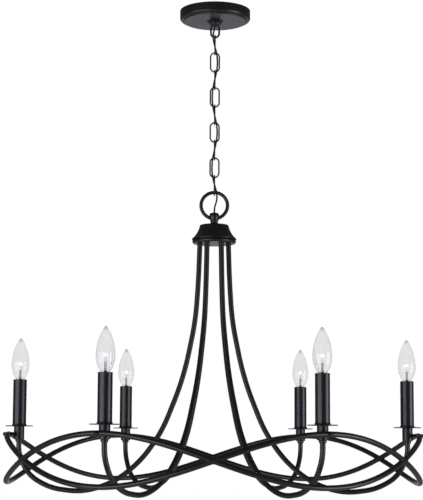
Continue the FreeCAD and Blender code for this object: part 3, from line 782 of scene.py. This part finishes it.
# %% The wavy ring tree
wavy_ring, given = start_tree("wavy_ring", Ring_Radius="size", Middle="size", Rise="size",
                              Waves="size", Start="size", Tube="size")
RING_STEPS = 360
circle = place(wavy_ring, "GeometryNodeCurvePrimitiveCircle",
               {"Resolution": RING_STEPS, "Radius": given["Ring Radius"]})
step = wavy_ring.nodes.new("GeometryNodeInputIndex").outputs[0]
angle = maths(wavy_ring, "MULTIPLY", step, 2 * math.pi / RING_STEPS)
phase = maths(wavy_ring, "MULTIPLY_ADD", angle, given["Waves"], given["Start"])
wave = maths(wavy_ring, "COSINE", phase)
lift = maths(wavy_ring, "MULTIPLY_ADD", wave, given["Rise"], given["Middle"])
lifted = place(wavy_ring, "GeometryNodeSetPosition",
               {"Geometry": circle.outputs[0], "Offset": xyz(wavy_ring, z=lift)})
end_tree(wavy_ring, given, sweep(wavy_ring, lifted.outputs[0], given["Tube"], 28))
print("wavy_ring nodes:", len(wavy_ring.nodes))

# %% Two rings from one tree
ring_low, ring_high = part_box("wave_ring_a")
RING_RADIUS = 0.395
TUBE_RADIUS = 0.005
RING_MIDDLE = -0.887
RING_RISE = 0.0455
WAVES = 3
for name, start in (("a", 0.0), ("b", math.pi)):
    grow(f"wavy_tube_{name}", wavy_ring, "frame", replaced=(f"wave_ring_{name}",),
         slot="black_metal", Ring_Radius=RING_RADIUS, Middle=RING_MIDDLE, Rise=RING_RISE,
         Waves=float(WAVES), Start=start, Tube=TUBE_RADIUS, Finish=black_metal)
print("Ring height in CAD:", round(1000 * (ring_high.z - ring_low.z), 1), "mm")

# %% [markdown]
# ## Welds
# Where two tubes cross, the welder runs a bead along the line where they meet. For two equal
# tubes that line is a pair of ellipses: a long one in the plane between the tubes and a short
# one across it. The bead is a thin tube along each ellipse whose thickness ripples a little, as
# the hand pauses and moves. One tree makes a bead on an ellipse and sets copies round a circle.

# %% The weld tree
weld_bead, given = start_tree("weld_bead", Width="size", Length="size", Bead="size", Tilt="size",
                              Circle="size", Height="size", Copies="count", First="size")
oval = place(weld_bead, "GeometryNodeCurvePrimitiveCircle", {"Resolution": 84, "Radius": 1.0})
flat_oval = place(weld_bead, "GeometryNodeTransform",
                  {"Geometry": oval.outputs[0],
                   "Scale": xyz(weld_bead, given["Width"], given["Length"], 1.0)})
step = weld_bead.nodes.new("GeometryNodeInputIndex").outputs[0]
pauses = maths(weld_bead, "SINE", maths(weld_bead, "MULTIPLY", step, 1.9))
ripple = maths(weld_bead, "MULTIPLY_ADD", pauses, 0.14, 1.0)
bead = sweep(weld_bead, flat_oval.outputs[0], given["Bead"], 8, ripple)
tilted = place(weld_bead, "GeometryNodeTransform",
               {"Geometry": bead, "Rotation": xyz(weld_bead, x=given["Tilt"])})
stations = place(weld_bead, "GeometryNodeMeshCircle",
                 {"Vertices": given["Copies"], "Radius": given["Circle"]})
turned = place(weld_bead, "GeometryNodeTransform",
               {"Geometry": stations.outputs[0], "Translation": xyz(weld_bead, z=given["Height"]),
                "Rotation": xyz(weld_bead, z=given["First"])})
share = maths(weld_bead, "DIVIDE", maths(weld_bead, "MULTIPLY", step, 2 * math.pi),
              given["Copies"])
copy_angle = maths(weld_bead, "ADD", given["First"], share)
beads = place(weld_bead, "GeometryNodeInstanceOnPoints",
              {"Points": turned.outputs[0], "Instance": tilted.outputs[0],
               "Rotation": xyz(weld_bead, z=copy_angle)})
end_tree(weld_bead, given, beads.outputs[0])
print("weld_bead nodes:", len(weld_bead.nodes))

# %% Beads at the crossings and under the base plate
slope = math.atan(RING_RISE * WAVES / RING_RADIUS)
plate_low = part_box("hub_base_plate")[0]
at_crossing = dict(Width=TUBE_RADIUS, Circle=RING_RADIUS, Height=RING_MIDDLE,
                   First=math.radians(30), Bead=0.0009)
beads = {
    "crossing_bead_long": dict(Length=TUBE_RADIUS / math.sin(slope), Tilt=0.0, **at_crossing),
    "crossing_bead_short": dict(Length=TUBE_RADIUS / math.cos(slope), Tilt=math.pi / 2,
                                **at_crossing),
    "arm_bead": dict(Width=0.0053, Length=0.0053, Tilt=0.0, Circle=0.0280,
                     Height=plate_low.z - 0.0002, First=0.0, Bead=0.0008),
}
for name, sizes in beads.items():
    grow(name, weld_bead, "frame", slot="black_metal", Copies=6, Finish=black_metal, **sizes)
print("Weld beads:", 6 * len(beads), "slope of the rings in degrees:", round(math.degrees(slope), 1))

# %% [markdown]
# ## Turned pieces
# A lamp's screw base and its glass mount are both turned about one axis, but neither is a plain
# cylinder: the base has a rolled thread, and the mount swells and narrows. The maker below spins
# a list of (radius, height) stops, and a rule may push each point in or out.

# %% Turning maker
def turned_mesh(name, stops, sides, matrix, finish, push=None):
    """Spin (radius, height) stops about Z, push each point by a rule, then put it in place."""
    vertices, faces = [], []
    for radius, height in stops:
        for k in range(sides):
            angle = 2 * math.pi * k / sides
            out = radius + (push(angle, radius, height) if push else 0.0)
            at = Vector((out * math.cos(angle), out * math.sin(angle), height))
            vertices.append(matrix @ at)
    for i in range(len(stops) - 1):
        for k in range(sides):
            k2 = (k + 1) % sides
            faces.append((i * sides + k, i * sides + k2, (i + 1) * sides + k2, (i + 1) * sides + k))
    last = (len(stops) - 1) * sides
    faces += [tuple(range(sides))[::-1], tuple(last + k for k in range(sides))]
    mesh = bpy.data.meshes.new(name)
    mesh.from_pydata(vertices, [], faces)
    mesh.shade_smooth()
    mesh.materials.append(finish)
    return mesh


print("Turning maker ready")

# %% [markdown]
# ## Lamp bases
# A candelabra base is thin brass rolled into a coarse thread, with a solder tip below. The
# thread is one rule: a point is pushed in or out by a sine of its height less its share of a
# turn, so the crest climbs one pitch for each turn.

# %% Threaded lamp bases
THREAD_PITCH = 0.0026
THREAD_DEPTH = 0.00035
SHELL_START = 0.0040
SHELL_ROWS = 40
TIP_RADIUS = 0.0050


def thread(angle, radius, height):
    """How far the thread pushes a point of the shell; the solder tip stays plain."""
    if radius < TIP_RADIUS:
        return 0.0
    return THREAD_DEPTH * math.sin(2 * math.pi * (height / THREAD_PITCH - angle / (2 * math.pi)))


def base_stops(low, high, radius):
    """The base from its solder tip up to the glass."""
    stops = [(0.0006, low), (0.0016, low + 0.0002), (0.0024, low + 0.0010), (0.0025, low + 0.0016),
             (0.0040, low + 0.0026), (0.0049, low + 0.0034)]
    for i in range(SHELL_ROWS + 1):
        rise = SHELL_START + (high - low - SHELL_START) * i / SHELL_ROWS
        stops.append((radius - THREAD_DEPTH, low + rise))
    return stops


for n in range(1, 7):
    low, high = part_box(f"bulb_{n}_base")
    axis = Matrix.Translation(((low.x + high.x) / 2, (low.y + high.y) / 2, 0))
    mesh = turned_mesh(f"lamp_base_{n}", base_stops(low.z, high.z, (high.x - low.x) / 2), 40, axis,
                       lamp_brass, thread)
    keep(f"lamp_base_{n}", mesh, f"bulb_{n}", replaced=(f"bulb_{n}_base",))
print("Lamp bases: 6, shell height in mm:", round(1000 * (high.z - low.z), 1))

# %% [markdown]
# ## Inside a lamp
# A glass mount stands in the neck. Two stiff wires rise from it and hold the filament, a fine
# coil bent into an arch. To wind a coil along an arch, walk along the arch in small steps and
# move each step sideways by the coil's radius, in a direction that turns as it goes: the
# curve's own normal and its cross product with the tangent give the two sideways directions.

# %% The coil tree
wound_coil, given = start_tree("wound_coil", Arch="size", Coil="size", Wire="size", Turns="size",
                               Place="spot", Turn="size")
COIL_STEPS = 420
arch = place(wound_coil, "GeometryNodeCurveArc",
             {"Resolution": COIL_STEPS, "Radius": given["Arch"], "Start Angle": 0.0,
              "Sweep Angle": math.pi}, mode="RADIUS")
step = wound_coil.nodes.new("GeometryNodeInputIndex").outputs[0]
wind = maths(wound_coil, "MULTIPLY", maths(wound_coil, "DIVIDE", step, COIL_STEPS),
             maths(wound_coil, "MULTIPLY", given["Turns"], 2 * math.pi))
sideways = wound_coil.nodes.new("GeometryNodeInputNormal").outputs[0]
ahead = wound_coil.nodes.new("GeometryNodeInputTangent").outputs[0]
other_way = vector_maths(wound_coil, "CROSS_PRODUCT", ahead, sideways)
steps_aside = []
for direction, wave in ((sideways, "COSINE"), (other_way, "SINE")):
    reach = maths(wound_coil, "MULTIPLY", maths(wound_coil, wave, wind), given["Coil"])
    steps_aside.append(scaled_vector(wound_coil, direction, reach))
coil_line = place(wound_coil, "GeometryNodeSetPosition",
                  {"Geometry": arch.outputs[0],
                   "Offset": vector_maths(wound_coil, "ADD", *steps_aside)})
coil = sweep(wound_coil, coil_line.outputs[0], given["Wire"], 6)
end_tree(wound_coil, given, stand_up(wound_coil, coil, given["Place"], given["Turn"]))
print("wound_coil nodes:", len(wound_coil.nodes))

# %% Mounts, wires and filaments
def wire_mesh(name, points, radius, finish):
    """A thin wire along a smooth line through control points."""
    line = smooth_line(points, name)
    travel = [0.001 * i for i in range(len(line))]
    mesh = tube_mesh(name, carried_frames(line), travel, radius, sides=8)
    mesh.materials.append(finish)
    return mesh


ARCH_RADIUS = 0.0031
ARCH_HEIGHT = 0.0345
MOUNT_STOPS = [(0.0046, 0.0012), (0.0044, 0.0030), (0.0030, 0.0075), (0.0022, 0.0120),
               (0.0020, 0.0180), (0.0024, 0.0215), (0.0022, 0.0230), (0.0012, 0.0240),
               (0.0003, 0.0243)]
# How far out and how high each wire runs, from the mount up to the end of the filament.
WIRE_STOPS = [(0.0009, 0.0120), (0.0012, 0.0245), (0.0023, 0.0290), (ARCH_RADIUS, ARCH_HEIGHT)]
TURN_BETWEEN_LAMPS = 37
for n in range(1, 7):
    low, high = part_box(f"bulb_{n}_glass")
    centre = Vector(((low.x + high.x) / 2, (low.y + high.y) / 2, low.z))
    mount = turned_mesh(f"lamp_mount_{n}", MOUNT_STOPS, 24, Matrix.Translation(centre), mount_glass)
    keep(f"lamp_mount_{n}", mount, f"bulb_{n}")
    turn = math.radians(TURN_BETWEEN_LAMPS * n)
    side = Vector((math.cos(turn), math.sin(turn), 0))
    for hand, word in ((-1, "left"), (1, "right")):
        points = [centre + side * (hand * out) + Vector((0, 0, up)) for out, up in WIRE_STOPS]
        wire = wire_mesh(f"lamp_wire_{n}_{word}", points, 0.00022, support_wire)
        keep(wire.name, wire, f"bulb_{n}")
    grow(f"lamp_filament_{n}", wound_coil, f"bulb_{n}", Arch=ARCH_RADIUS, Coil=0.00065,
         Wire=0.0002, Turns=13.0, Place=centre + Vector((0, 0, ARCH_HEIGHT)), Turn=turn,
         Finish=filament_glow)
print("Lamps fitted out: 6")

# %% [markdown]
# ## Floor, light and background
# The floor is a plain pale sheet well below the fixture, and the background is plain white. A
# black object shows mostly what it reflects, so a white room all round would turn it grey. The
# Light Path node lets the eye, and rays that pass through glass, see the bright background,
# while reflections see a dim room with two large soft panels and a weak one behind. That keeps
# each tube dark down its middle with a soft light band on both sides. The panels are hidden from
# the eye and from rays that pass through glass, or they would wash the lamps out.

# %% Bright to the eye, dim in reflections
def seen_directly(tree):
    """One for rays from the eye or through glass, nought for reflections and bounces."""
    path = tree.nodes.new("ShaderNodeLightPath").outputs
    return maths(tree, "MAXIMUM", path["Is Camera Ray"], path["Is Transmission Ray"])


def bright_or_dim(tree, bright, dim):
    """Pick the bright value for seen rays and the dim one for the rest."""
    node = place(tree, "ShaderNodeMix", {0: seen_directly(tree), 2: dim, 3: bright},
                 data_type="FLOAT")
    return node.outputs[0]


scene = bpy.context.scene
scene.view_settings.view_transform = "Standard"
print("Backdrop helpers ready")

# %% Floor
FLOOR_REACH = 60.0
FLOOR_HEIGHT = -2.4
corners = [(x * FLOOR_REACH, y * FLOOR_REACH, FLOOR_HEIGHT)
           for x, y in ((-1, -1), (1, -1), (1, 1), (-1, 1))]
floor_mesh = bpy.data.meshes.new("floor")
floor_mesh.from_pydata(corners, [], [(0, 1, 2, 3)])
floor = bpy.data.objects.new("floor", floor_mesh)
scene.collection.objects.link(floor)
floor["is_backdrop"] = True
floor_paint, tree, shader = new_finish("floor_paint", 0.9)
mottle = noise(tree, 0.8, 4.0)
tree.links.new(mix_colour(tree, mottle, (0.60, 0.60, 0.60, 1), (0.64, 0.64, 0.64, 1)),
               shader.inputs["Base Color"])
shader.inputs["Emission Color"].default_value = (1, 1, 1, 1)
tree.links.new(bright_or_dim(tree, 0.94, 0.12), shader.inputs["Emission Strength"])
shader.inputs["Specular IOR Level"].default_value = 0.0
floor_mesh.materials.append(floor_paint)
print("Floor at", FLOOR_HEIGHT, "m")

# %% Studio light
world = bpy.data.worlds.new("studio")
scene.world = world
world.use_nodes = True
tree = world.node_tree
backdrop = tree.nodes["Background"]
backdrop.inputs["Color"].default_value = (1, 1, 1, 1)
tree.links.new(bright_or_dim(tree, 1.0, 0.09), backdrop.inputs["Strength"])


def soft_panel(name, azimuth, distance, height, width, tall, brightness):
    """A rectangular light facing the middle; azimuth 0 is in front and 90 is to the right."""
    light = bpy.data.lights.new(name, "AREA")
    light.shape, light.size, light.size_y = "RECTANGLE", width, tall
    light.energy = brightness * math.pi * width * tall
    light.color = (0.88, 0.89, 1.0)
    panel = bpy.data.objects.new(name, light)
    turn = math.radians(azimuth)
    panel.location = (distance * math.sin(turn), -distance * math.cos(turn), height)
    facing = Vector((0, 0, height)) - panel.location
    panel.rotation_euler = facing.to_track_quat("-Z", "Y").to_euler()
    panel.visible_camera = False
    panel.visible_transmission = False
    scene.collection.objects.link(panel)


soft_panel("left_panel", azimuth=-46, distance=3.2, height=-1.15, width=3.6, tall=1.9,
           brightness=2.9)
soft_panel("right_panel", azimuth=68, distance=3.2, height=-1.15, width=2.0, tall=1.9,
           brightness=4.1)
soft_panel("back_panel", azimuth=180, distance=4.0, height=-1.0, width=2.5, tall=1.6,
           brightness=0.5)

# %% [markdown]
# The looks must not change the size. The CAD box was kept at the start, and the finished box
# is measured the same way and kept beside it.

# %% Measure the sizes
now_low, now_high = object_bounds()
sizes = {"cad": [list(cad_low), list(cad_high)], "visual": [list(now_low), list(now_high)]}
print("Finished box in millimetres:", [round(1000 * side) for side in now_high - now_low])
